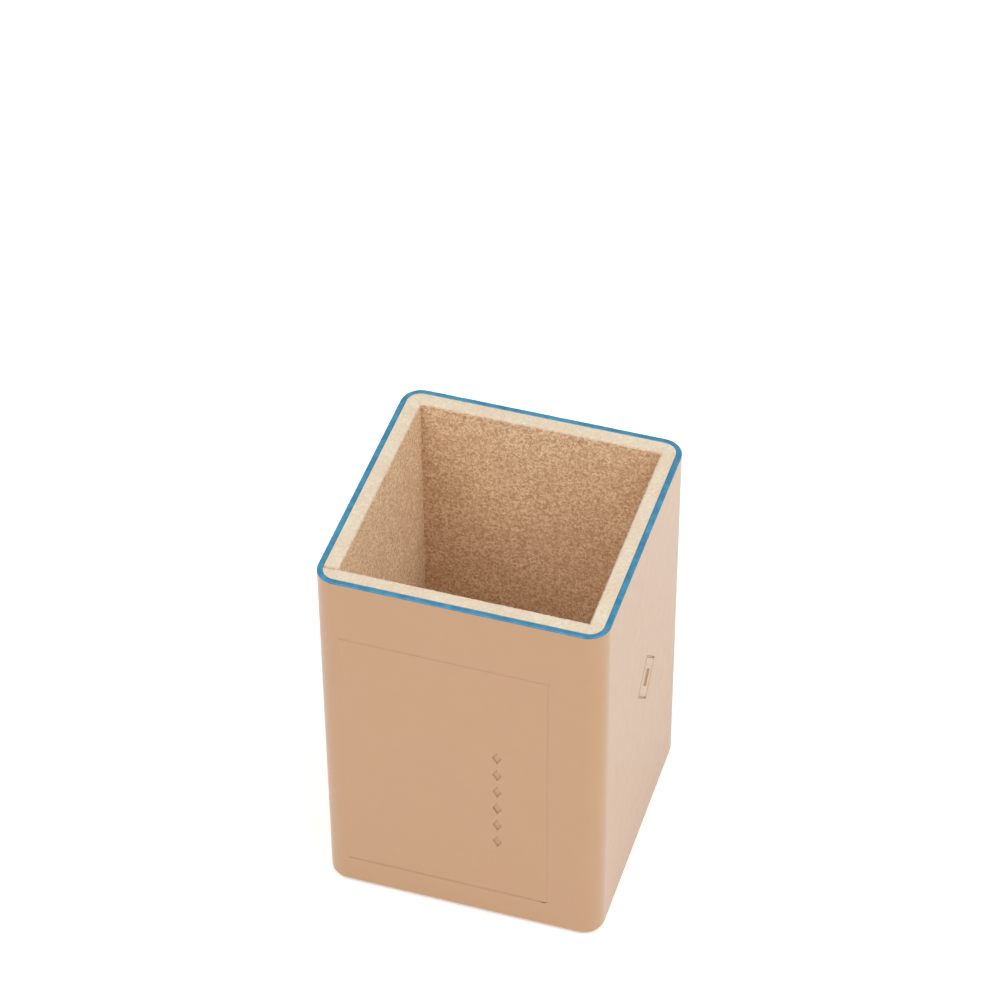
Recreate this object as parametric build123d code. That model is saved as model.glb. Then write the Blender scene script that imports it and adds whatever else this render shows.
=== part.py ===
"""Square leather pen cup, built as it is made: four walls and a base of board, lined with suede,
wrapped in one strip of leather, with a painted top edge and a suede cover under the base.

Millimetres. +Z is up, the front faces -Y, and the origin is the middle of the underside.
"""

import os

from build123d import *

# Driving dimensions of the finished cup
CUP_WIDTH = 75.0  # across the outside, the same from front to back
CUP_HEIGHT = 110.0  # from the table to the crown of the painted edge
CORNER_RADIUS = 5.6  # outside upright corners, seen from above

# Materials, by thickness
LEATHER = 1.6
HEM_LEATHER = 1.0  # the leather is pared where it is turned under the base
BOARD = 3.0
LINING = 0.8
BASE_COVER = 0.8
STIFFENER = 0.3

# Top rim
PAINT_HEIGHT = 0.4  # the bead of edge paint on the leather's cut edge
PAINT_ROUND = 0.3
RIM_DROP = 0.2  # the lining's rim lies this far below the crown of the paint
FOLD_RADIUS = 0.8  # where the lining turns over the top of a board

# Underside
FOLD_ROUND = 1.4  # outside of the fold where the leather turns under
HEM_WIDTH = 10.0
HEM_SLIT = 0.3
COVER_INSET = 3.0
COVER_RADIUS = 3.4

# Back seam of the wrap
SEAM_GAP = 0.2

# Stiffener behind the leather of the front, and the crease that its outline leaves in the leather
PANEL_LEFT, PANEL_RIGHT = -31.0, 23.3
PANEL_BOTTOM, PANEL_TOP = 10.0, 91.0
CREASE_WIDTH = 0.4
CREASE_DEPTH = 0.15

# Blind tooling pressed into the leather: a column of lozenges in front, nested diamonds on the right
TOOLING_DEPTH = 0.4
LOZENGE_COUNT = 6
LOZENGE_PITCH = 6.2
LOZENGE_HEIGHT = 4.4
LOZENGE_WIDTH = 2.6
LOZENGE_X, LOZENGE_MIDDLE_Z = 10.0, 45.0
DIAMOND_SPAN = 16.0
DIAMOND_LINE = 0.9
DIAMOND_Y, DIAMOND_Z = 3.5, 58.0
INNER_DIAMOND_SPAN = 6.5

# Worked out from the above
HALF = CUP_WIDTH / 2
LEATHER_BACK = HALF - LEATHER  # the leather's glued side, and the outside of the boards
BOARD_BACK = LEATHER_BACK - BOARD  # the inside of the boards
WELL = BOARD_BACK - LINING  # half the width of the open well
INNER_RADIUS = CORNER_RADIUS - LEATHER
PAINT_BOTTOM = CUP_HEIGHT - PAINT_HEIGHT
RIM_TOP = CUP_HEIGHT - RIM_DROP
BOARD_TOP = RIM_TOP - LINING
BOARD_BOTTOM = BASE_COVER + HEM_LEATHER
BASE_TOP = BOARD_BOTTOM + BOARD
FLOOR_TOP = BASE_TOP + LINING


def block(x, y, z):
    """A box between two corners, each axis given as (low, high)."""
    size = [high - low for low, high in (x, y, z)]
    middle = [(high + low) / 2 for low, high in (x, y, z)]
    return Pos(*middle) * Box(*size)


def rounded_column(half, radius, bottom, top):
    """A square column with rounded upright corners."""
    outline = RectangleRounded(2 * half, 2 * half, radius)
    return extrude(Pos(0, 0, bottom) * outline, top - bottom)


def lozenge(width, height):
    return Polygon((0, height / 2), (-width / 2, 0), (0, -height / 2), (width / 2, 0))


def front_plane(x, z):
    """A plane on the front of the leather, with its normal pointing into the cup."""
    return Plane(origin=(x, -HALF, z), x_dir=(1, 0, 0), z_dir=(0, 1, 0))


def right_plane(y, z):
    """A plane on the right side of the leather, with its normal pointing into the cup."""
    return Plane(origin=(HALF, y, z), x_dir=(0, 1, 0), z_dir=(-1, 0, 0))


def panel_crease():
    """The shallow crease around the outline of the stiffener."""
    width, height = PANEL_RIGHT - PANEL_LEFT, PANEL_TOP - PANEL_BOTTOM
    middle = front_plane((PANEL_LEFT + PANEL_RIGHT) / 2, (PANEL_BOTTOM + PANEL_TOP) / 2)
    outer = Rectangle(width + CREASE_WIDTH, height + CREASE_WIDTH)
    inner = Rectangle(width - CREASE_WIDTH, height - CREASE_WIDTH)
    return extrude(middle * (outer - inner), CREASE_DEPTH)


def front_tooling():
    cuts = []
    for row in range(LOZENGE_COUNT):
        z = LOZENGE_MIDDLE_Z + (row - (LOZENGE_COUNT - 1) / 2) * LOZENGE_PITCH
        mark = front_plane(LOZENGE_X, z) * lozenge(LOZENGE_WIDTH, LOZENGE_HEIGHT)
        cuts.append(extrude(mark, TOOLING_DEPTH))
    return cuts


def side_tooling():
    place = right_plane(DIAMOND_Y, DIAMOND_Z)
    opening = DIAMOND_SPAN - 2 * DIAMOND_LINE
    frame = lozenge(DIAMOND_SPAN, DIAMOND_SPAN) - lozenge(opening, opening)
    middle = lozenge(INNER_DIAMOND_SPAN, INNER_DIAMOND_SPAN)
    return [extrude(place * frame, TOOLING_DEPTH), extrude(place * middle, TOOLING_DEPTH)]


def leather_wrap():
    """One strip of leather around all four sides, its lower edge turned under the base."""
    outside = rounded_column(HALF, CORNER_RADIUS, BASE_COVER, PAINT_BOTTOM)
    fold = outside.edges().group_by(Axis.Z)[0]
    wrap = fillet(fold, FOLD_ROUND)
    wrap -= rounded_column(LEATHER_BACK, INNER_RADIUS, BOARD_BOTTOM, CUP_HEIGHT)
    hem = HALF - HEM_WIDTH
    wrap -= block((-hem, hem), (-hem, hem), (0, BOARD_BOTTOM))
    wrap -= block((-SEAM_GAP / 2, SEAM_GAP / 2), (hem - 1, HALF + 1), (0, CUP_HEIGHT))
    slit_end = LEATHER_BACK - INNER_RADIUS / 2
    slit_length = (slit_end - hem + 1) * 2**0.5
    slit_middle = (slit_end + hem - 1) / 2
    for turn in range(4):
        slit = Rot(0, 0, 45) * Box(slit_length, HEM_SLIT, 2 * BOARD_BOTTOM)
        wrap -= Rot(0, 0, 90 * turn) * (Pos(slit_middle, slit_middle, 0) * slit)
    wrap -= stiffener_shape()
    wrap -= panel_crease()
    for cut in front_tooling() + side_tooling():
        wrap -= cut
    return wrap


def painted_edge():
    """The bead of edge paint that seals the leather's cut edge."""
    ring = rounded_column(HALF, CORNER_RADIUS, PAINT_BOTTOM, CUP_HEIGHT)
    ring -= rounded_column(LEATHER_BACK, INNER_RADIUS, 0, CUP_HEIGHT + 1)
    return fillet(ring.edges().group_by(Axis.Z)[-1], PAINT_ROUND)


def stiffener_shape():
    return block(
        (PANEL_LEFT, PANEL_RIGHT),
        (-LEATHER_BACK - STIFFENER, -LEATHER_BACK),
        (PANEL_BOTTOM, PANEL_TOP),
    )


def full_width_wall():
    """The front board, which runs from side to side and carries the rounded corners."""
    side = (-LEATHER_BACK, LEATHER_BACK)
    wall = block(side, (-LEATHER_BACK, -BOARD_BACK), (BOARD_BOTTOM, BOARD_TOP))
    return wall & rounded_column(LEATHER_BACK, INNER_RADIUS, 0, CUP_HEIGHT)


def between_wall():
    """The left board, which fits between the front and back boards."""
    side = (-BOARD_BACK, BOARD_BACK)
    wall = block((-LEATHER_BACK, -BOARD_BACK), side, (BOARD_BOTTOM, BOARD_TOP))
    return wall & rounded_column(LEATHER_BACK, INNER_RADIUS, 0, CUP_HEIGHT)


def base_board():
    side = (-BOARD_BACK, BOARD_BACK)
    return block(side, side, (BOARD_BOTTOM, BASE_TOP))


def fold_round(length):
    """The bar that rounds the fold of a lining over the front board."""
    bar = block((-length, length), (-WELL - FOLD_RADIUS, -WELL), (RIM_TOP - FOLD_RADIUS, RIM_TOP))
    rod = Rot(0, 90, 0) * Cylinder(FOLD_RADIUS, 2 * length)
    return bar - Pos(0, -WELL - FOLD_RADIUS, RIM_TOP - FOLD_RADIUS) * rod


def full_width_lining():
    """The front lining: up the wall, over the board and out to the leather, from side to side."""
    side = (-LEATHER_BACK, LEATHER_BACK)
    rim = block(side, (-LEATHER_BACK, -WELL), (BOARD_TOP, RIM_TOP))
    rim = rim & rounded_column(LEATHER_BACK, INNER_RADIUS, 0, CUP_HEIGHT)
    sheet = block((-BOARD_BACK, BOARD_BACK), (-BOARD_BACK, -WELL), (BASE_TOP, BOARD_TOP))
    return rim + sheet - fold_round(WELL)


def between_lining():
    """The left lining, whose ends butt against the front and back linings."""
    side = (-WELL, WELL)
    rim = block((-LEATHER_BACK, -WELL), side, (BOARD_TOP, RIM_TOP))
    sheet = block((-BOARD_BACK, -WELL), side, (BASE_TOP, BOARD_TOP))
    return rim + sheet - Rot(0, 0, -90) * fold_round(WELL)


def floor_lining():
    side = (-WELL, WELL)
    return block(side, side, (BASE_TOP, FLOOR_TOP))


def base_cover():
    """The suede glued under the base, over the turned-in hem."""
    return rounded_column(HALF - COVER_INSET, COVER_RADIUS, 0, BASE_COVER)


def turned(shape):
    """The same piece on the opposite side of the cup."""
    return Rot(0, 0, 180) * shape


def pieces():
    return {
        "leather_wrap": leather_wrap(),
        "painted_edge": painted_edge(),
        "front_stiffener": stiffener_shape(),
        "board_front": full_width_wall(),
        "board_back": turned(full_width_wall()),
        "board_left": between_wall(),
        "board_right": turned(between_wall()),
        "base_board": base_board(),
        "lining_front": full_width_lining(),
        "lining_back": turned(full_width_lining()),
        "lining_left": between_lining(),
        "lining_right": turned(between_lining()),
        "lining_floor": floor_lining(),
        "base_cover": base_cover(),
    }


os.makedirs("parts", exist_ok=True)
for name, shape in pieces().items():
    export_step(shape, f"parts/{name}.step")
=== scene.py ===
"""Looks of a square leather pen cup: tan leather wrap, blue painted edge and brushed suede lining.

Metres. +Z is up, the front faces -Y, and the cup stands on the floor at the origin.
"""

import math
import random

import bmesh
import bpy
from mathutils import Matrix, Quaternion, Vector


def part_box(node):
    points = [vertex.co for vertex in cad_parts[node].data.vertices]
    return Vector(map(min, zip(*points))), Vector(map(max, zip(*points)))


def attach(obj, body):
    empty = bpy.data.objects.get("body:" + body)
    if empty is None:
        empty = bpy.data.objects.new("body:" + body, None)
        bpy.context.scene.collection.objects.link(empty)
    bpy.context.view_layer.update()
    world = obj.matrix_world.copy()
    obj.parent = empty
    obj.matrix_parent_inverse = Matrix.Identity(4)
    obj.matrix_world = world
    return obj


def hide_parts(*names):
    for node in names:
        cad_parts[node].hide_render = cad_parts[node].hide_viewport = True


MM = 0.001
SEED = 7

# Camera
CAMERA_AIM = Vector((-0.55, -0.2, 113.1)) * MM
CAMERA_DISTANCE = 908.9 * MM
CAMERA_AZIMUTH = 17.67
CAMERA_ELEVATION = 42.87
CAMERA_ROLL = -0.38
CAMERA_LENS = 131.55
SENSOR = 36.0

# Studio
FLOOR_SIZE = 8.0
SKY = 0.7
KEY_POWER = 17.0
KEY_COLOUR = (0.95, 1.0, 1.0)
FILL_POWER = 12.7
FLOOR_GLOW = 0.26

# Leather wrap
CORNER_RADIUS = 5.6 * MM
CORNER_STEPS = 12
FOLD_ROUND = 1.4 * MM
FOLD_STEPS = 5
HEM_WIDTH = 10.0 * MM
HEM_CORNER = 0.6 * MM
SIDE_CUTS = 23
UPRIGHT_CUTS = 39
LEATHER_WAVE = 0.05 * MM
LEATHER_WAVE_SIZE = 40.0 * MM

# Crease around the card behind the front leather
CREASE_HALF = 0.32 * MM
CREASE_DEPTH = 0.13 * MM
CREASE_LEFT = 0.35
CREASE_FOOT = 0.04
PANEL_RISE = 0.01 * MM

# Blind tooling: a column of lozenges in front, nested diamonds on the right
LOZENGE_COUNT = 6
LOZENGE_PITCH = 6.2 * MM
LOZENGE_SIZE = (2.6 * MM, 4.4 * MM)
LOZENGE_X = 10.0 * MM
LOZENGE_MIDDLE_Z = 45.0 * MM
DIAMOND_SPAN = 16.0 * MM
DIAMOND_LINE = 0.9 * MM
DIAMOND_CENTRE = (3.5 * MM, 58.0 * MM)
INNER_DIAMOND_SPAN = 6.5 * MM
TOOLING_DEPTH = 0.4 * MM

# Painted edge
BEAD_ROUND = 0.38 * MM
BEAD_STEPS = 6
BEAD_CUTS = 89
BEAD_WAVE = 0.12 * MM
BEAD_WAVE_SIZE = 2.0 * MM

# Suede lining
RIM_GRID = 0.36 * MM
WALL_GRID = 0.6 * MM
LINING_FOLD = 0.7 * MM
LINING_FOLD_STEPS = 4
RIM_CORNER = 3.75 * MM
NAP_HEIGHT = 0.12 * MM
NAP_SIZE = 0.8 * MM
TUFTS = ((0.05, 0.04 * MM), (0.05, 0.07 * MM))
TUFT_TAPER = 0.11 * MM
SEAM_DIP = 0.5 * MM

# Well floor and base cover
PAD_GRID = 1.0 * MM
PAD_ROUND = 0.25 * MM
COVER_CORNER = 3.4 * MM

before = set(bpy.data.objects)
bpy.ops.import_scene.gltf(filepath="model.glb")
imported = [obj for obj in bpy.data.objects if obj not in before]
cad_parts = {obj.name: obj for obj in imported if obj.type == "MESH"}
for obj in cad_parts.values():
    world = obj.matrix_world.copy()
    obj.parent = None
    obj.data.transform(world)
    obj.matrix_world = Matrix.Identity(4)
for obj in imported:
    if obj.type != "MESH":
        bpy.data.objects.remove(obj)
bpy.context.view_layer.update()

wrap_low, wrap_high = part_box("leather_wrap")
paint_low, paint_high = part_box("painted_edge")
board_low, board_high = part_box("board_front")
front_low, front_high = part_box("lining_front")
well_floor_low, well_floor_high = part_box("lining_floor")
cover_low, cover_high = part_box("base_cover")
card_low, card_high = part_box("front_stiffener")

HALF = wrap_high.x
LEATHER_BACK = -board_low.y
BOARD_BACK = -board_high.y
WELL = well_floor_high.x
INNER_RADIUS = CORNER_RADIUS - (HALF - LEATHER_BACK)
HEM_TOP = board_low.z
BOARD_TOP = board_high.z
RIM_TOP = front_high.z
WELL_BOTTOM = front_low.z
TINY = 0.01 * MM


# ---------------------------------------------------------------- modelling by hand


def leave_edit():
    if bpy.context.mode != "OBJECT":
        bpy.ops.object.mode_set(mode="OBJECT")


def only(piece):
    """Select this piece alone, in object mode."""
    leave_edit()
    bpy.ops.object.select_all(action="DESELECT")
    piece.select_set(True)
    bpy.context.view_layer.objects.active = piece


def edit(piece):
    only(piece)
    bpy.ops.object.mode_set(mode="EDIT")


def name_piece(name):
    piece = bpy.context.object
    piece.name = name
    piece.data.name = name
    return piece


def add_block(name, low, high):
    """A box between two corners, as a new piece, left in edit mode."""
    leave_edit()
    bpy.ops.object.select_all(action="DESELECT")
    low, high = Vector(low), Vector(high)
    bpy.ops.mesh.primitive_cube_add(size=1, location=(low + high) / 2)
    piece = name_piece(name)
    piece.scale = high - low
    bpy.ops.object.transform_apply(location=True, rotation=True, scale=True)
    edit(piece)
    return piece


def pick(kind, test):
    """Select the verts, edges or faces that pass a test, which gets the middle and the normal or direction."""
    bpy.ops.mesh.select_mode(type=kind)
    bpy.ops.mesh.select_all(action="DESELECT")
    data = bpy.context.object.data
    mesh = bmesh.from_edit_mesh(data)
    if kind == "VERT":
        found = [v for v in mesh.verts if test(v.co, v.normal)]
    elif kind == "EDGE":
        found = []
        for e in mesh.edges:
            a, b = e.verts[0].co, e.verts[1].co
            if test((a + b) / 2, b - a):
                found.append(e)
    else:
        found = [f for f in mesh.faces if test(f.calc_center_median(), f.normal)]
    for item in found:
        item.select_set(True)
    mesh.select_flush_mode()
    bmesh.update_edit_mesh(data)
    return len(found)


def near(a, b):
    return abs(a - b) < TINY


def reach(point):
    """How far out a point is from the cup's axis, square-wise."""
    return max(abs(point.x), abs(point.y))


def cut(point, normal, where):
    """A straight cut across the faces that pass a test."""
    if pick("FACE", where):
        bpy.ops.mesh.bisect(plane_co=point, plane_no=Vector(normal).normalized(), threshold=0.1 * TINY)


def press(slopes):
    """Push the selected faces in, by steps of (width of the slope, how deep)."""
    for width, depth in slopes:
        bpy.ops.mesh.inset(thickness=width, depth=-depth, use_boundary=True)


def finish_modifier(piece, kind, **settings):
    only(piece)
    modifier = piece.modifiers.new(kind.lower(), kind)
    for key, value in settings.items():
        setattr(modifier, key, value)
    bpy.ops.object.modifier_apply(modifier=modifier.name)


def weigh(piece, name, weight):
    """A vertex group whose weights come from each point's place and normal."""
    leave_edit()
    group = piece.vertex_groups.new(name=name)
    for vertex in piece.data.vertices:
        share = weight(vertex.co, vertex.normal)
        if share > 0:
            group.add([vertex.index], share, "REPLACE")
    return name


def ripple(piece, group, size, height, detail=2, level=0.5):
    """Move the weighted surface by a soft noise of that grain size and full height; level 1 only sinks it."""
    noise = bpy.data.textures.new("ripple", "CLOUDS")
    noise.noise_scale = size
    noise.noise_depth = detail
    finish_modifier(
        piece,
        "DISPLACE",
        texture=noise,
        texture_coords="LOCAL",
        strength=height,
        mid_level=level,
        vertex_group=group,
    )
    bpy.data.textures.remove(noise)


def smooth(piece, degrees=40):
    only(piece)
    bpy.ops.object.shade_smooth_by_angle(angle=math.radians(degrees))


def tidy_mesh():
    bpy.ops.mesh.select_all(action="SELECT")
    bpy.ops.mesh.remove_doubles(threshold=0.2 * TINY)
    bpy.ops.mesh.normals_make_consistent(inside=False)


# ---------------------------------------------------------------- leather wrap


def in_lozenge(centre, size, face_of):
    """A test for faces inside a lozenge; face_of turns a point into two places on the leather's face."""

    def inside(middle, normal):
        place = face_of(middle, normal)
        if place is None:
            return False
        return abs(place[0] - centre[0]) / size[0] + abs(place[1] - centre[1]) / size[1] < 0.5

    return inside


def in_cell(centre, size, face_of):
    def inside(middle, normal):
        place = face_of(middle, normal)
        if place is None:
            return False
        return abs(place[0] - centre[0]) < size[0] / 2 and abs(place[1] - centre[1]) < size[1] / 2

    return inside


def on_front(middle, normal):
    if middle.y > -HALF + 0.5 * MM or normal.y > -0.7:
        return None
    return middle.x, middle.z


def on_right(middle, normal):
    if middle.x < HALF - 0.5 * MM or normal.x < 0.7:
        return None
    return middle.y, middle.z


def face_vector(across, up, face_of):
    """A direction or place on the front or right face of the leather."""
    return Vector((across, 0, up)) if face_of is on_front else Vector((0, across, up))


def cut_cell(centre, size, face_of, around):
    """Cuts along the four edges of a rectangle on the leather."""
    near_cell = in_cell(centre, (size[0] + around, size[1] + around), face_of)
    for side in (-1, 1):
        cut(face_vector(centre[0] + side * size[0] / 2, 0, face_of), face_vector(1, 0, face_of), near_cell)
        cut(face_vector(0, centre[1] + side * size[1] / 2, face_of), (0, 0, 1), near_cell)


def cut_lozenge(centre, size, cell, face_of):
    """Four slanting cuts along a lozenge's edges, kept within its cell."""
    for side in (-1, 1):
        tip = face_vector(centre[0] + side * size[0] / 2, centre[1], face_of)
        for end in (-1, 1):
            cut(tip, face_vector(side * size[1], end * size[0], face_of), in_cell(centre, cell, face_of))


def tooling_slopes(depth):
    return ((0.05 * MM, 0.1 * depth), (0.08 * MM, 0.7 * depth), (0.06 * MM, 0.2 * depth))


def tool_lozenges():
    cell = (LOZENGE_SIZE[0] + 0.8 * MM, LOZENGE_PITCH)
    cut_cell((LOZENGE_X, LOZENGE_MIDDLE_Z), (cell[0], LOZENGE_COUNT * LOZENGE_PITCH), on_front, 8 * MM)
    rows = [LOZENGE_MIDDLE_Z + (row - (LOZENGE_COUNT - 1) / 2) * LOZENGE_PITCH for row in range(LOZENGE_COUNT)]
    for z in rows:
        cut_cell((LOZENGE_X, z), cell, on_front, LOZENGE_PITCH)
    for z in rows:
        cut_lozenge((LOZENGE_X, z), LOZENGE_SIZE, cell, on_front)
        pick("FACE", in_lozenge((LOZENGE_X, z), LOZENGE_SIZE, on_front))
        bpy.ops.mesh.dissolve_faces(use_verts=True)
        press(tooling_slopes(TOOLING_DEPTH))


def tool_diamonds():
    spans = [DIAMOND_SPAN, DIAMOND_SPAN - 2 * DIAMOND_LINE, INNER_DIAMOND_SPAN]
    cell = (DIAMOND_SPAN + MM, DIAMOND_SPAN + MM)
    cut_cell(DIAMOND_CENTRE, cell, on_right, 8 * MM)
    for span in spans:
        cut_lozenge(DIAMOND_CENTRE, (span, span), cell, on_right)
    middle_point = face_vector(*DIAMOND_CENTRE, on_right)
    for direction in ((0, 1, 0), (0, 0, 1)):
        cut(middle_point, direction, in_cell(DIAMOND_CENTRE, cell, on_right))
    in_outer, in_opening, in_middle = (in_lozenge(DIAMOND_CENTRE, (span, span), on_right) for span in spans)

    def in_ring(middle, normal):
        return in_outer(middle, normal) and not in_opening(middle, normal)

    for test in (in_ring, in_middle):
        for across, up in ((-1, -1), (-1, 1), (1, -1), (1, 1)):

            def in_quarter(middle, normal):
                place = middle - middle_point
                return across * place.y > 0 and up * place.z > 0 and test(middle, normal)

            pick("FACE", in_quarter)
            bpy.ops.mesh.dissolve_faces(use_verts=True)
        pick("FACE", test)
        press(tooling_slopes(TOOLING_DEPTH))


def crease_panel():
    """The card behind the leather shows as a shallow crease, its inside a hair proud."""
    middle = ((card_low.x + card_high.x) / 2, (card_low.z + card_high.z) / 2)
    size = (card_high.x - card_low.x, card_high.z - card_low.z)
    grown = (size[0] + 2 * CREASE_HALF, size[1] + 2 * CREASE_HALF)
    shrunk = (size[0] - 2 * CREASE_HALF, size[1] - 2 * CREASE_HALF)
    cut_cell(middle, grown, on_front, 12 * MM)
    cut_cell(middle, shrunk, on_front, 12 * MM)
    in_grown = in_cell(middle, grown, on_front)
    in_shrunk = in_cell(middle, shrunk, on_front)

    def in_outline(place):
        return abs(place.x - middle[0]) < grown[0] / 2 and abs(place.z - middle[1]) < grown[1] / 2

    pick("FACE", in_shrunk)
    bpy.ops.transform.translate(value=(0, -PANEL_RISE, 0))
    pick("FACE", lambda point, normal: in_grown(point, normal) and not in_shrunk(point, normal))
    press(((0.1 * MM, 0.4 * CREASE_DEPTH), (0.1 * MM, 0.6 * CREASE_DEPTH)))
    # Fainter along its left side, and hardly there at the bottom
    for left_side, kept in ((True, CREASE_LEFT), (False, CREASE_FOOT)):

        def in_faint_part(place, normal):
            if not -HALF + TINY < place.y < -HALF + MM or not in_outline(place):
                return False
            at_foot = place.z < card_low.z + CREASE_HALF
            return at_foot != left_side and (at_foot or place.x < card_low.x + CREASE_HALF)

        pick("VERT", in_faint_part)
        bpy.ops.transform.resize(value=(1, kept, 1), center_override=(0, -HALF, 0))


def seam_at_back():
    """The butt seam where the two ends of the strip meet, from the top down and under the fold."""

    def behind(middle, normal):
        return middle.y > HALF - HEM_WIDTH + TINY and normal.y - normal.z > 0.5 and abs(middle.x) < 4 * MM

    for x in (-0.3 * MM, 0.3 * MM):
        cut((x, 0, 0), (1, 0, 0), behind)
    pick("FACE", lambda middle, normal: behind(middle, normal) and abs(middle.x) < 0.3 * MM)
    press(((0.12 * MM, 0.06 * MM), (0.1 * MM, 0.5 * MM)))


def mitre_hem():
    """The slits where the hem is mitred at the four corners of the underside."""

    def underneath(middle, normal):
        return normal.z < -0.95 and reach(middle) > HALF - HEM_WIDTH and middle.z < HEM_TOP - 2 * TINY

    for turn in (1, -1):
        across = Vector((1, -turn, 0)).normalized()
        for side in (-1, 1):
            cut(across * side * 0.2 * MM, across, underneath)
        pick("FACE", lambda middle, normal: underneath(middle, normal) and abs(middle @ across) < 0.2 * MM)
        press(((0.05 * MM, 0.1 * MM), (0.05 * MM, 0.4 * MM)))


def facing(direction, z):
    """A test for the level faces at a height that face up, 1, or down, -1."""
    return lambda middle, normal: normal.z * direction > 0.999 and near(middle.z, z)


def shrink_face(thickness, scale):
    """Inset the selected level face, then scale what is left, as for the opening of a hem."""
    bpy.ops.mesh.inset(thickness=thickness, depth=0)
    bpy.ops.transform.resize(value=(scale, scale, 1), center_override=(0, 0, 0))


def make_wrap():
    wrap = add_block("tan_leather_wrap", wrap_low, wrap_high)
    pick("EDGE", lambda middle, along: abs(along.z) > HALF)
    bpy.ops.mesh.bevel(offset=CORNER_RADIUS, segments=CORNER_STEPS)
    pick("EDGE", lambda middle, along: near(middle.z, wrap_low.z))
    bpy.ops.mesh.bevel(offset=FOLD_ROUND, segments=FOLD_STEPS)
    # The inside, down to the top of the hem
    pick("FACE", facing(1, wrap_high.z))
    bpy.ops.mesh.inset(thickness=HALF - LEATHER_BACK, depth=0)
    bpy.ops.mesh.extrude_region_move(TRANSFORM_OT_translate={"value": (0, 0, HEM_TOP - wrap_high.z)})
    # The hem: what is left of the leather under the base, around an opening
    pared = LEATHER_BACK - INNER_RADIUS + HEM_CORNER
    scale = (HALF - HEM_WIDTH) / pared
    pick("FACE", facing(1, HEM_TOP))
    shrink_face(LEATHER_BACK - pared, scale)
    pick("FACE", facing(-1, wrap_low.z))
    shrink_face(HALF - FOLD_ROUND - pared, scale)
    pick("FACE", lambda middle, normal: abs(normal.z) > 0.999 and middle.xy.length < TINY)
    bpy.ops.mesh.bridge_edge_loops()
    tidy_mesh()
    # Enough grid on the outside for the leather to move
    pick("EDGE", lambda middle, along: max(abs(along.x), abs(along.y)) > HALF / 2)
    bpy.ops.mesh.subdivide(number_cuts=SIDE_CUTS)
    pick("EDGE", lambda middle, along: abs(along.z) > HALF and middle.xy.length > LEATHER_BACK + 0.5 * MM)
    bpy.ops.mesh.subdivide(number_cuts=UPRIGHT_CUTS)
    crease_panel()
    tool_lozenges()
    tool_diamonds()
    seam_at_back()
    mitre_hem()
    leave_edit()
    outside = weigh(wrap, "outside", lambda place, normal: float(reach(place) > HALF - MM))
    ripple(wrap, outside, LEATHER_WAVE_SIZE, LEATHER_WAVE, level=1)
    smooth(wrap, 50)
    # Large faces decide the shading, so the flat leather stays flat beside a crease or a mark
    finish_modifier(wrap, "WEIGHTED_NORMAL", keep_sharp=True, weight=90)
    return wrap


# ---------------------------------------------------------------- painted edge


def make_bead():
    """The bead of edge paint, a rounded ring on the cut edge of the leather."""
    bead = add_block("blue_edge_bead", paint_low, paint_high)
    pick("EDGE", lambda middle, along: near(along.xy.length, 0))
    bpy.ops.mesh.bevel(offset=CORNER_RADIUS, segments=CORNER_STEPS)
    for direction, z in ((1, paint_high.z), (-1, paint_low.z)):
        pick("FACE", facing(direction, z))
        bpy.ops.mesh.inset(thickness=HALF - LEATHER_BACK, depth=0)
    pick("FACE", lambda middle, normal: abs(normal.z) > 0.999 and middle.xy.length < TINY)
    bpy.ops.mesh.bridge_edge_loops()
    tidy_mesh()

    def along_crown(middle, along):
        return near(middle.z, paint_high.z) and near(along.z, 0) and not MM < along.length < HALF

    pick("EDGE", along_crown)
    bpy.ops.mesh.bevel(offset=BEAD_ROUND, segments=BEAD_STEPS)
    pick("EDGE", lambda middle, along: along.length > HALF)
    bpy.ops.mesh.subdivide(number_cuts=BEAD_CUTS)
    leave_edit()
    crown = weigh(bead, "crown", lambda place, normal: float(place.z > paint_low.z + TINY))
    ripple(bead, crown, BEAD_WAVE_SIZE, BEAD_WAVE, level=1)
    smooth(bead, 60)
    return bead


# ---------------------------------------------------------------- suede lining


def cut_levels(low, high, step, axis, where):
    """Evenly spaced cuts across the chosen faces, along one axis."""
    count = max(1, round((high - low) / step))
    normal = Vector([float(i == axis) for i in range(3)])
    for level in range(1, count):
        cut(normal * (low + (high - low) * level / count), normal, where)


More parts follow.
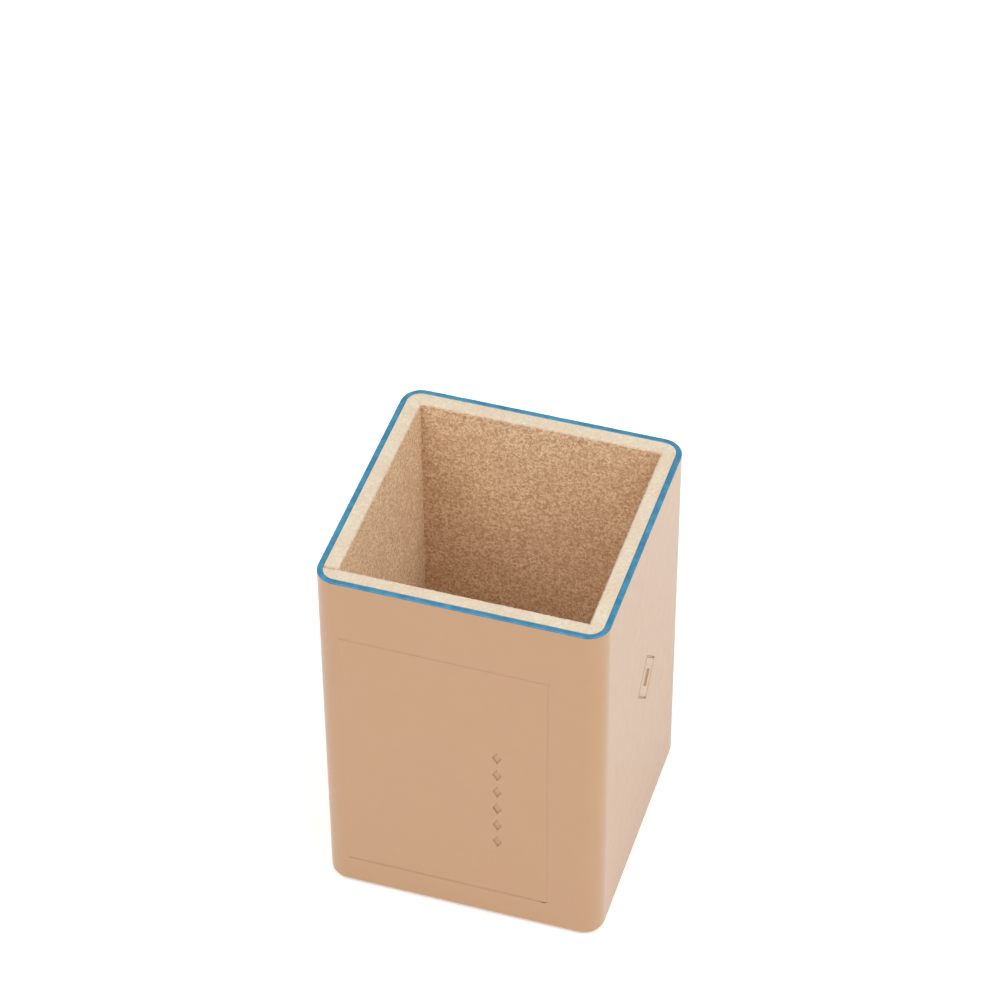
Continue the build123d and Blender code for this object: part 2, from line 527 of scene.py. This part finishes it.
def shape_lining(name, full_width):
    """The front lining: a rim that covers the edge of the board, and a wall folded down from it."""
    rim_half = LEATHER_BACK if full_width else WELL
    wall_half = BOARD_BACK if full_width else WELL
    lining = add_block(name, (-rim_half, -LEATHER_BACK, BOARD_TOP), (rim_half, -WELL, RIM_TOP))
    if full_width:
        pick("EDGE", lambda middle, along: near(along.xy.length, 0) and near(middle.y, -LEATHER_BACK))
        bpy.ops.mesh.bevel(offset=RIM_CORNER, segments=CORNER_STEPS)
    grid_end = WELL - RIM_GRID
    for x in {grid_end, WELL, wall_half} - {rim_half}:
        for side in (-1, 1):
            cut((side * x, 0, 0), (1, 0, 0), lambda middle, normal: True)
    cut((0, -BOARD_BACK, 0), (0, 1, 0), lambda middle, normal: True)
    pick(
        "FACE",
        lambda middle, normal: normal.z < -0.9 and middle.y > -BOARD_BACK and abs(middle.x) < wall_half,
    )
    bpy.ops.mesh.extrude_region_move(TRANSFORM_OT_translate={"value": (0, 0, WELL_BOTTOM - BOARD_TOP)})
    pick(
        "EDGE",
        lambda middle, along: near(middle.y, -WELL) and near(middle.z, RIM_TOP) and abs(middle.x) < WELL,
    )
    bpy.ops.mesh.bevel(offset=LINING_FOLD, segments=LINING_FOLD_STEPS)
    tidy_mesh()
    pick("EDGE", lambda middle, along: abs(along.x) > WELL)
    bpy.ops.mesh.subdivide(number_cuts=round(2 * grid_end / RIM_GRID) - 1)

    def on_rim(middle, normal):
        return normal.z > 0.99 and middle.z > RIM_TOP - TINY

    cut_levels(-LEATHER_BACK, -WELL - LINING_FOLD, RIM_GRID, 1, on_rim)
    if full_width:
        for low, high in ((-LEATHER_BACK, -WELL), (WELL, LEATHER_BACK)):
            cut_levels(low, high, RIM_GRID, 0, on_rim)
    pick(
        "EDGE",
        lambda middle, along: abs(along.z) > HALF and near(middle.y, -WELL) and abs(middle.x) < WELL + TINY,
    )
    bpy.ops.mesh.subdivide(number_cuts=round((BOARD_TOP - WELL_BOTTOM) / WALL_GRID) - 1)
    leave_edit()
    return lining


def copy_piece(piece, name):
    only(piece)
    bpy.ops.object.duplicate()
    return name_piece(name)


def turn(piece, degrees):
    """Turn a piece about the cup's axis, anticlockwise seen from above."""
    edit(piece)
    bpy.ops.mesh.select_all(action="SELECT")
    bpy.ops.transform.rotate(value=-math.radians(degrees), orient_axis="Z", center_override=(0, 0, 0))
    leave_edit()


def dip_seam():
    """Where the front and left linings butt, their cut edges sink a little below the nap."""
    pick(
        "VERT",
        lambda place, normal: near(place.y, -WELL) and place.x < -WELL - LINING_FOLD and place.z > RIM_TOP - TINY,
    )
    bpy.ops.transform.translate(value=(0, 0, -SEAM_DIP))


def on_nap(place, normal):
    """How freely the nap of a lining stands up here: not at its ends, nor where it is glued down."""
    if place.z < WELL_BOTTOM + MM or normal.z < -0.3:
        return 0.0
    out = reach(place)
    if out > LEATHER_BACK - RIM_GRID / 2:
        return 0.0
    across = min(abs(place.x), abs(place.y))
    if abs(across - WELL) < RIM_GRID / 2:
        return 0.3
    outward = Vector((place.x, place.y, 0)).normalized()
    if place.z < BOARD_TOP - TINY and (out > WELL + TINY or normal.dot(outward) > 0):
        return 0.0
    return 1.0


def raise_tufts(seed):
    """Small tufts of nap on the rim, thickest on the fold at its inner edge."""
    for share, height in TUFTS:
        chance = random.Random(seed)
        seed += 1

        def is_tuft(middle, normal):
            if middle.z < BOARD_TOP - 1.5 * MM or normal.z < -0.1 or reach(middle) > LEATHER_BACK - RIM_GRID:
                return False
            on_fold = reach(middle) < WELL + LINING_FOLD
            if middle.z < RIM_TOP - MM and not on_fold:
                return False
            return on_fold and chance.random() < share * 3

        pick("FACE", is_tuft)
        bpy.ops.mesh.inset(use_individual=True, use_even_offset=False, thickness=TUFT_TAPER, depth=height)


def nap_lining(lining, seed):
    nap = weigh(lining, "nap", on_nap)
    ripple(lining, nap, NAP_SIZE, NAP_HEIGHT, detail=3)
    edit(lining)
    raise_tufts(seed)
    smooth(lining, 60)
    return lining


def make_linings():
    front = shape_lining("suede_lining_front", True)
    back = copy_piece(front, "suede_lining_back")
    turn(back, 180)
    left = shape_lining("suede_lining_left", False)
    right = copy_piece(left, "suede_lining_right")
    turn(left, -90)
    turn(right, 90)
    for piece in (front, left):
        edit(piece)
        dip_seam()
        leave_edit()
    return [nap_lining(piece, SEED + 10 * i) for i, piece in enumerate((front, back, left, right))]


# ---------------------------------------------------------------- well floor and base cover


def make_pad(name, low, high, corner, show):
    """A flat piece of suede whose shown side, 1 for up or -1 for down, has a soft edge and standing nap."""
    pad = add_block(name, low, high)
    z = high.z if show > 0 else low.z
    if corner:
        pick("EDGE", lambda middle, along: near(along.xy.length, 0))
        bpy.ops.mesh.bevel(offset=corner, segments=CORNER_STEPS)
    pick("FACE", facing(show, z))
    bpy.ops.transform.translate(value=(0, 0, -show * PAD_ROUND / 2))
    bpy.ops.mesh.inset(thickness=PAD_ROUND, depth=PAD_ROUND / 2)
    half = high.x - PAD_ROUND
    for axis in (0, 1):
        cut_levels(-half, half, PAD_GRID, axis, lambda middle, normal: normal.z * show > 0.9)
    leave_edit()
    nap = weigh(pad, "nap", lambda place, normal: float(normal.z * show > 0.9))
    ripple(pad, nap, NAP_SIZE, NAP_HEIGHT, detail=3, level=1)
    smooth(pad, 60)
    return pad


# ---------------------------------------------------------------- materials


def feed(tree, socket, value):
    if isinstance(value, bpy.types.NodeSocket):
        tree.links.new(value, socket)
    else:
        socket.default_value = value


def add_node(tree, kind, inputs=None, **settings):
    node = tree.nodes.new("ShaderNode" + kind)
    for key, value in settings.items():
        setattr(node, key, value)
    for key, value in (inputs or {}).items():
        feed(tree, node.inputs[key], value)
    return node


def object_place(tree):
    return add_node(tree, "TexCoord").outputs["Object"]


def noise(tree, scale, detail=2.0, roughness=0.5, place=None, swirl=0.0):
    node = add_node(tree, "TexNoise", {"Vector": place or object_place(tree), "Scale": scale})
    feed(tree, node.inputs["Detail"], detail)
    feed(tree, node.inputs["Roughness"], roughness)
    feed(tree, node.inputs["Distortion"], swirl)
    return node.outputs["Fac"]


def spread(tree, value, low, high, to_low=0.0, to_high=1.0):
    """Stretch a value from one range to another, held at the ends."""
    inputs = {0: value, 1: low, 2: high, 3: to_low, 4: to_high}
    return add_node(tree, "MapRange", inputs, interpolation_type="SMOOTHSTEP").outputs[0]


def sums(tree, operation, first, second):
    return add_node(tree, "Math", {0: first, 1: second}, operation=operation).outputs[0]


def blend_colours(tree, share, first, second):
    inputs = {0: share, 6: first, 7: second}
    return add_node(tree, "Mix", inputs, data_type="RGBA").outputs[2]


def start_group(name, inputs, outputs):
    """A node group whose inputs have starting values, and whose outputs vary over the surface."""
    tree = bpy.data.node_groups.new(name, "ShaderNodeTree")
    for key, value in inputs.items():
        socket = tree.interface.new_socket(key, in_out="INPUT", socket_type="NodeSocketFloat")
        socket.default_value = value
    for key in outputs:
        tree.interface.new_socket(key, in_out="OUTPUT", socket_type="NodeSocketFloat")
    return tree, tree.nodes.new("NodeGroupInput").outputs, tree.nodes.new("NodeGroupOutput").inputs


def mottle_group():
    """Soft clouds of light and dark, as in any dyed or painted surface."""
    tree, given, out = start_group("soft_mottle", {"Scale": 60.0, "Detail": 2.0, "Contrast": 0.5}, ["Mottle"])
    cloud = noise(tree, given["Scale"], given["Detail"])
    half = sums(tree, "MULTIPLY", given["Contrast"], 0.5)
    low = sums(tree, "SUBTRACT", 0.5, half)
    high = sums(tree, "ADD", 0.5, half)
    feed(tree, out["Mottle"], spread(tree, cloud, low, high))
    return tree


def grain_group():
    """Fine closed grain with pores, pressed smooth."""
    tree, given, out = start_group("fine_grain", {"Scale": 900.0, "Pore Size": 0.25}, ["Pores", "Height"])
    place = object_place(tree)
    warp = add_node(tree, "TexNoise", {"Vector": place, "Scale": given["Scale"], "Detail": 2.0}).outputs["Color"]
    shift = add_node(tree, "VectorMath", {0: warp, 1: (0.0006, 0.0006, 0.0006)}, operation="MULTIPLY").outputs[0]
    moved = add_node(tree, "VectorMath", {0: place, 1: shift}, operation="ADD").outputs[0]
    cells = add_node(tree, "TexVoronoi", {"Vector": moved, "Scale": given["Scale"]}, feature="DISTANCE_TO_EDGE")
    pores = spread(tree, cells.outputs["Distance"], 0.0, given["Pore Size"], 1.0, 0.0)
    patchy = noise(tree, sums(tree, "MULTIPLY", given["Scale"], 0.12), 3.0, place=place)
    pores = sums(tree, "MULTIPLY", pores, spread(tree, patchy, 0.35, 0.65, 0.25, 1.0))
    feed(tree, out["Pores"], pores)
    feed(tree, out["Height"], sums(tree, "SUBTRACT", 1.0, pores))
    return tree


def nap_group():
    """Brushed fibres that stand in clumps and lie in curly strands; Clumps follows their height, the nap's own
    speckle, lighter where they stand, with painted shade darkening the hollows in between.
    """
    tree, given, out = start_group("brushed_nap", {"Scale": 1400.0}, ["Clumps", "Height"])
    place = object_place(tree)
    clumps = noise(tree, given["Scale"], 2.0, 0.6, place, 0.9)
    hairs = noise(tree, sums(tree, "MULTIPLY", given["Scale"], 3.0), 2.0, 0.6, place, 0.6)
    curl = noise(tree, sums(tree, "MULTIPLY", given["Scale"], 0.55), 1.0, 0.5, place, 1.4)
    off_strand = sums(tree, "ABSOLUTE", sums(tree, "SUBTRACT", curl, 0.5), 0.0)
    strands = spread(tree, off_strand, 0.07, 0.0)
    height = sums(tree, "ADD", clumps, sums(tree, "MULTIPLY", hairs, 0.3))
    height = sums(tree, "ADD", height, sums(tree, "MULTIPLY", strands, 0.16))
    feed(tree, out["Clumps"], spread(tree, height, 0.5, 0.9))
    feed(tree, out["Height"], height)
    return tree


MOTTLE = mottle_group()
GRAIN = grain_group()
NAP = nap_group()


def use_group(tree, group, **inputs):
    node = tree.nodes.new("ShaderNodeGroup")
    node.node_tree = group
    for key, value in inputs.items():
        feed(tree, node.inputs[key.replace("_", " ")], value)
    return node.outputs


def start_finish(name, **numbers):
    """A material with one Principled shader, whose uniform numbers are set on its own sockets."""
    material = bpy.data.materials.new(name)
    material.use_nodes = True
    tree = material.node_tree
    tree.nodes.clear()
    shader = add_node(tree, "BsdfPrincipled", {k.replace("_", " "): v for k, v in numbers.items()})
    end = tree.nodes.new("ShaderNodeOutputMaterial")
    tree.links.new(shader.outputs["BSDF"], end.inputs["Surface"])
    return material, tree, shader.inputs


def relief(tree, sockets, height, distance, strength=1.0):
    inputs = {"Height": height, "Distance": distance, "Strength": strength}
    feed(tree, sockets["Normal"], add_node(tree, "Bump", inputs).outputs["Normal"])


def height_above(tree):
    return add_node(tree, "SeparateXYZ", {0: object_place(tree)}).outputs["Z"]


def colour(red, green, blue):
    """A colour from the 0-255 values of a paint chart."""

    def linear(value):
        value /= 255
        return value / 12.92 if value <= 0.04045 else ((value + 0.055) / 1.055) ** 2.4

    return (linear(red), linear(green), linear(blue), 1.0)


def leather_finish():
    material, tree, sockets = start_finish("tan_leather", IOR=1.47)
    wide = use_group(tree, MOTTLE, Scale=38.0, Detail=2.0, Contrast=0.5)["Mottle"]
    close = use_group(tree, MOTTLE, Scale=240.0, Detail=3.0, Contrast=0.6)["Mottle"]
    grain = use_group(tree, GRAIN, Scale=1500.0, Pore_Size=0.3)
    tone = blend_colours(tree, wide, colour(171, 134, 98), colour(172, 133, 100))
    tone = blend_colours(tree, sums(tree, "MULTIPLY", close, 0.2), tone, colour(168, 130, 96))
    tone = blend_colours(tree, sums(tree, "MULTIPLY", grain["Pores"], 0.1), tone, colour(155, 117, 85))
    # Darker and redder over the lowest 3.5 mm of the leather, toward the fold at its foot
    low_down = spread(tree, height_above(tree), 3.5 * MM, 1.0 * MM)
    tone = blend_colours(tree, sums(tree, "MULTIPLY", low_down, 0.5), tone, colour(168, 124, 86))
    feed(tree, sockets["Base Color"], tone)
    feed(tree, sockets["Roughness"], spread(tree, close, 0.0, 1.0, 0.285, 0.315))
    relief(tree, sockets, grain["Height"], 0.002 * MM, 0.15)
    return material


def paint_finish():
    material, tree, sockets = start_finish("blue_edge_paint", IOR=1.5)
    close = use_group(tree, MOTTLE, Scale=420.0, Detail=3.0, Contrast=0.6)["Mottle"]
    grain = use_group(tree, GRAIN, Scale=2400.0, Pore_Size=0.35)
    tone = blend_colours(tree, close, colour(28, 106, 142), colour(60, 132, 162))
    tone = blend_colours(tree, sums(tree, "MULTIPLY", grain["Pores"], 0.3), tone, colour(22, 97, 132))
    feed(tree, sockets["Base Color"], tone)
    feed(tree, sockets["Roughness"], spread(tree, close, 0.0, 1.0, 0.18, 0.26))
    relief(tree, sockets, grain["Height"], 0.01 * MM, 0.4)
    return material


def suede_finish(name, painted_lit_rim_tones, painted_shade_wall_tones, scale):
    """Brushed suede, painted lighter over the rim as if lit from above, and painted darker and redder down the
    wall as the shade and warm bounce light inside the well.
    """
    material, tree, sockets = start_finish(name, Sheen_Weight=0.12, Sheen_Roughness=0.5, IOR=1.4)
    nap = use_group(tree, NAP, Scale=scale)
    wide = use_group(tree, MOTTLE, Scale=120.0, Detail=3.0, Contrast=0.5)["Mottle"]
    # Painted light: a lit copy of the suede for the rim and a shaded, redder copy for the walls of the well
    painted_lit_tone = blend_colours(tree, nap["Clumps"], *painted_lit_rim_tones)
    deep = blend_colours(tree, nap["Clumps"], *painted_shade_wall_tones)
    down = spread(tree, height_above(tree), RIM_TOP - 0.12 * MM, RIM_TOP - 0.9 * MM)
    tone = blend_colours(tree, down, painted_lit_tone, deep)
    tone = blend_colours(tree, sums(tree, "MULTIPLY", wide, 0.25), tone, painted_shade_wall_tones[0])
    feed(tree, sockets["Base Color"], tone)
    feed(tree, sockets["Roughness"], spread(tree, nap["Clumps"], 0.0, 1.0, 0.95, 0.8))
    relief(tree, sockets, nap["Height"], 0.4 * MM, 0.6)
    return material


def board_finish():
    material, tree, sockets = start_finish("raw_fibreboard", IOR=1.4)
    fleck = use_group(tree, MOTTLE, Scale=1600.0, Detail=4.0, Contrast=0.5)["Mottle"]
    wide = use_group(tree, MOTTLE, Scale=90.0, Detail=3.0, Contrast=0.5)["Mottle"]
    tone = blend_colours(tree, fleck, colour(150, 118, 84), colour(184, 152, 114))
    feed(tree, sockets["Base Color"], blend_colours(tree, sums(tree, "MULTIPLY", wide, 0.3), tone, colour(168, 132, 92)))
    feed(tree, sockets["Roughness"], spread(tree, fleck, 0.0, 1.0, 0.85, 0.72))
    relief(tree, sockets, fleck, 0.05 * MM, 0.6)
    return material


def card_finish():
    material, tree, sockets = start_finish("grey_card", IOR=1.4)
    fleck = use_group(tree, MOTTLE, Scale=2200.0, Detail=3.0, Contrast=0.4)["Mottle"]
    grain = use_group(tree, GRAIN, Scale=1800.0, Pore_Size=0.2)
    feed(tree, sockets["Base Color"], blend_colours(tree, fleck, colour(168, 162, 150), colour(194, 188, 176)))
    feed(tree, sockets["Roughness"], spread(tree, fleck, 0.0, 1.0, 0.8, 0.68))
    relief(tree, sockets, grain["Height"], 0.01 * MM, 0.5)
    return material


def floor_finish():
    """A white light table, which leaves hardly any shadow."""
    white = (1.0, 1.0, 1.0, 1.0)
    pale = (0.9, 0.9, 0.9, 1.0)
    return start_finish(
        "studio_floor", Base_Color=pale, Roughness=0.8, Emission_Color=white, Emission_Strength=FLOOR_GLOW
    )[0]


def dress(piece, material):
    piece.data.materials.clear()
    piece.data.materials.append(material)


# ---------------------------------------------------------------- studio


def add_camera():
    azimuth, elevation = math.radians(CAMERA_AZIMUTH), math.radians(CAMERA_ELEVATION)
    toward = Vector((math.sin(azimuth) * math.cos(elevation), -math.cos(azimuth) * math.cos(elevation), math.sin(elevation)))
    leave_edit()
    bpy.ops.object.camera_add(location=CAMERA_AIM + toward * CAMERA_DISTANCE)
    camera = bpy.context.object
    turned = toward.to_track_quat("Z", "Y") @ Quaternion((0, 0, 1), math.radians(CAMERA_ROLL))
    camera.rotation_euler = turned.to_euler()
    camera.data.lens = CAMERA_LENS
    camera.data.sensor_width = SENSOR
    camera.data.clip_start = 0.05
    bpy.context.scene.camera = camera


def add_softbox(name, azimuth, elevation, distance, size, power):
    """A square light that faces the cup from a compass direction, 0 in front and 90 to the right."""
    around, up = math.radians(azimuth), math.radians(elevation)
    toward = Vector((math.sin(around) * math.cos(up), -math.cos(around) * math.cos(up), math.sin(up)))
    bpy.ops.object.light_add(type="AREA", location=toward * distance)
    light = bpy.context.object
    light.name = name
    light.rotation_euler = toward.to_track_quat("Z", "Y").to_euler()
    light.data.size = size
    light.data.energy = power
    return light


def add_studio():
    leave_edit()
    bpy.ops.mesh.primitive_plane_add(size=FLOOR_SIZE)
    floor = name_piece("studio_floor")
    dress(floor, floor_finish())
    world = bpy.data.worlds.new("studio")
    world.use_nodes = True
    sky = world.node_tree.nodes["Background"]
    sky.inputs["Color"].default_value = (1.0, 1.0, 1.0, 1.0)
    sky.inputs["Strength"].default_value = SKY
    bpy.context.scene.world = world
    key = add_softbox("key_softbox", 75, 52, 1.8, 1.2, KEY_POWER)
    key.data.color = KEY_COLOUR
    add_softbox("fill_softbox", -25, 52, 1.8, 1.0, FILL_POWER)
    bpy.context.scene.view_settings.view_transform = "Standard"


# ---------------------------------------------------------------- putting it together

wrap = make_wrap()
bead = make_bead()
front, back, left, right = make_linings()
well_floor = make_pad("suede_well_floor", well_floor_low, well_floor_high, 0, 1)
base_cover = make_pad("suede_base_cover", cover_low, cover_high, COVER_CORNER, -1)

leather = leather_finish()
paint = paint_finish()
# The first pair of tones is the rim, painted lighter as if lit from above; the second is the wall, painted darker
# and redder as shade in the well
suede = suede_finish(
    "lining_suede",
    (colour(200, 186, 163), colour(214, 201, 180)),
    (colour(198, 153, 115), colour(252, 226, 187)),
    1300.0,
)
base_suede = suede_finish(
    "base_suede",
    (colour(196, 164, 132), colour(214, 184, 152)),
    (colour(196, 164, 132), colour(214, 184, 152)),
    1700.0,
)

for piece, node, slot, material in (
    (wrap, "leather_wrap", "wrap_leather", leather),
    (bead, "painted_edge", "edge_paint", paint),
    (front, "lining_front", "lining_suede", suede),
    (back, "lining_back", "lining_suede", suede),
    (left, "lining_left", "lining_suede", suede),
    (right, "lining_right", "lining_suede", suede),
    (well_floor, "lining_floor", "lining_suede", suede),
    (base_cover, "base_cover", "base_suede", base_suede),
):
    dress(piece, material)
    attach(piece, "root")
    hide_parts(node)

fibreboard = board_finish()
for name in ("board_front", "board_back", "board_left", "board_right", "base_board"):
    dress(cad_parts[name], fibreboard)
dress(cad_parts["front_stiffener"], card_finish())

add_camera()
add_studio()
